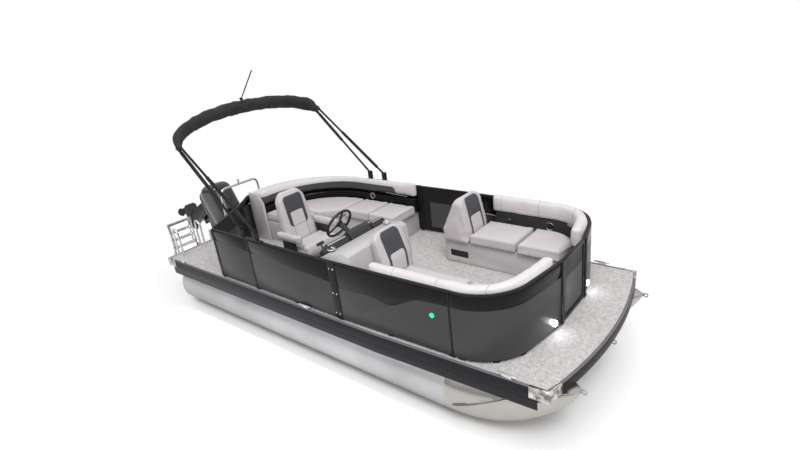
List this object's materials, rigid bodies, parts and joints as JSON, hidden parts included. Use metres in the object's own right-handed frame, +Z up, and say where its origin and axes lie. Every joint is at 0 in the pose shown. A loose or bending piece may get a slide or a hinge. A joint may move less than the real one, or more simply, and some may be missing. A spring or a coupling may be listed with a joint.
{
  "type": "pontoon boat",
  "caption": "Pontoon boat with a fenced cockpit, lounge seats, helm, hinged gates, folded bimini top and a tilted outboard motor.",
  "frame": {"origin": "middle of the boat's overall box, on the floor that its tubes stand on", "axes": "+X towards the bow, +Y to port, +Z up"},
  "size_m": [8.1688, 2.598, 3.4382],
  "materials": {
    "brushed_tube": "brushed",
    "nose_metal": "satin",
    "bare_metal": "satin",
    "dark_metal": "satin",
    "rail_black": "satin",
    "chrome": "polished",
    "deck_weave": "woven vinyl",
    "fence_frame": "satin",
    "panel_grey": "metallic",
    "panel_black": "gloss",
    "lamp": "clear lens",
    "moulding": "satin",
    "dash_black": "grained",
    "wheel_black": "soft grip",
    "vinyl_light": "grained vinyl",
    "vinyl_charcoal": "grained vinyl",
    "canvas": "woven acrylic",
    "motor_black": "gloss",
    "motor_metal": "satin"
  },
  "bodies": {
    "boat": {"tube_port": "brushed_tube", "tube_starboard": "brushed_tube", "tube_centre": "brushed_tube", "nose_cones": "nose_metal", "tow_eyes": "bare_metal", "motor_pod": "bare_metal", "cross_members": "bare_metal", "deck": "deck_weave", "rub_rail": "rail_black", "skirt": "dark_metal", "corner_caps": "chrome", "cleats": "chrome", "fence_starboard": "fence_frame", "fence_port": "fence_frame", "fence_bow": "fence_frame", "fence_stern": "fence_frame", "panels_lower": "panel_grey", "panels_upper": "panel_black", "lights": "lamp", "console": "moulding", "dash": "dash_black", "throttle": "dash_black", "chair_pedestal": "chrome", "lounge_base": "moulding", "lounge_seats": "vinyl_light", "lounge_back": "vinyl_light", "bow_bases": "moulding", "bow_seats": "vinyl_light", "bow_backrests": "vinyl_light", "bow_bolsters": "vinyl_light", "bow_liners": "vinyl_charcoal", "bimini_brackets": "dark_metal", "grab_rails": "chrome", "tow_bar": "chrome", "motor_bracket": "motor_metal"},
    "bow_gate": {"bow_gate": "fence_frame"},
    "side_gate": {"side_gate": "fence_frame"},
    "stern_gate": {"stern_gate": "fence_frame"},
    "steering_wheel": {"steering_wheel": "wheel_black"},
    "helm_chair": {"chair_frame": "dash_black", "chair_cushions": "vinyl_light"},
    "bimini": {"bimini_arms": "fence_frame", "bimini_boot": "canvas", "light_mast": "fence_frame"},
    "ladder": {"ladder": "chrome"},
    "motor_swivel": {"motor_swivel": "motor_metal"},
    "motor": {"motor_cowl": "motor_black", "motor_leg": "motor_metal"},
    "propeller": {"propeller": "motor_metal"}
  },
  "joints": [
    {"name": "bow_gate_hinge", "type": "hinge", "parent": "boat", "child": "bow_gate", "pos_m": [3.553, -0.1915, 1.17], "axis": [0, 0, 1], "range_deg": [0, 92]},
    {"name": "side_gate_hinge", "type": "hinge", "parent": "boat", "child": "side_gate", "pos_m": [1.6555, 1.20968, 1.17], "axis": [0, 0, 1], "range_deg": [0, 90]},
    {"name": "stern_gate_hinge", "type": "hinge", "parent": "boat", "child": "stern_gate", "pos_m": [-1.35859, -0.40855, 1.17], "axis": [0, 0, 1], "range_deg": [0, 68]},
    {"name": "chair_swivel", "type": "hinge", "parent": "boat", "child": "helm_chair", "pos_m": [0.31, -0.56, 1.15], "axis": [0, 0, 1], "continuous": true},
    {"name": "bimini_fold", "type": "hinge", "parent": "boat", "child": "bimini", "pos_m": [-0.1648, 0, 1.66], "axis": [0, 1, 0], "range_deg": [-27, 0]},
    {"name": "ladder_fold", "type": "hinge", "parent": "boat", "child": "ladder", "pos_m": [-2.38, -0.94, 0.82], "axis": [0, 1, 0], "range_deg": [-175, 0]},
    {"name": "motor_tilt", "type": "hinge", "parent": "boat", "child": "motor_swivel", "pos_m": [-2.94, 0, 0.85], "axis": [0, 1, 0], "range_deg": [-62, 0]},
    {"name": "motor_steer", "type": "hinge", "parent": "motor_swivel", "child": "motor", "pos_m": [-3.08463, 0, 0.90901], "axis": [0.8829, 0, 0.4695], "range_deg": [-30, 30]},
    {"name": "propeller_spin", "type": "hinge", "parent": "motor", "child": "propeller", "pos_m": [-3.93519, 0, 0.93244], "axis": [0.4695, 0, -0.8829], "continuous": true},
    {"name": "wheel_turn", "type": "hinge", "parent": "boat", "child": "steering_wheel", "pos_m": [1.01043, -0.645, 1.68706], "axis": [0.8829, 0, -0.4695], "range_deg": [-720, 720]}
  ],
  "couplings": [
    {"joint": "wheel_turn", "follows": "motor_steer", "ratio": 24}
  ]
}
